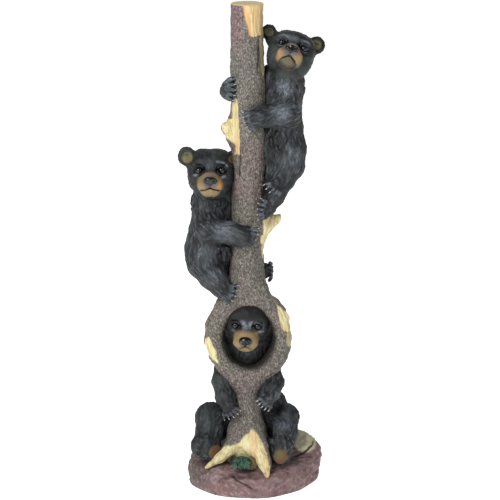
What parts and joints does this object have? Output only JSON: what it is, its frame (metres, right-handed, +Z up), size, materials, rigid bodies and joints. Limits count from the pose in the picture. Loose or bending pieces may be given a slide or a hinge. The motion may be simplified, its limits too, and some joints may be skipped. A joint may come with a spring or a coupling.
{
  "type": "garden statue",
  "caption": "Painted cast statue of bear cubs climbing a tree trunk, with a cub looking out of its knothole, on a rock base with a flat underside.",
  "frame": {"origin": "on the flat underside, under the middle of the rock base", "axes": "+Z up along the tree trunk, -Y towards the viewer whom the cubs face, +X to that viewer's right"},
  "size_m": [0.1819, 0.1504, 0.61],
  "materials": {
    "painted_fur": "satin",
    "painted_bark": "matt",
    "painted_rock": "matt",
    "gloss_black": "gloss"
  },
  "bodies": {
    "root": {"bear_statue": "painted_fur"}
  },
  "joints": []
}
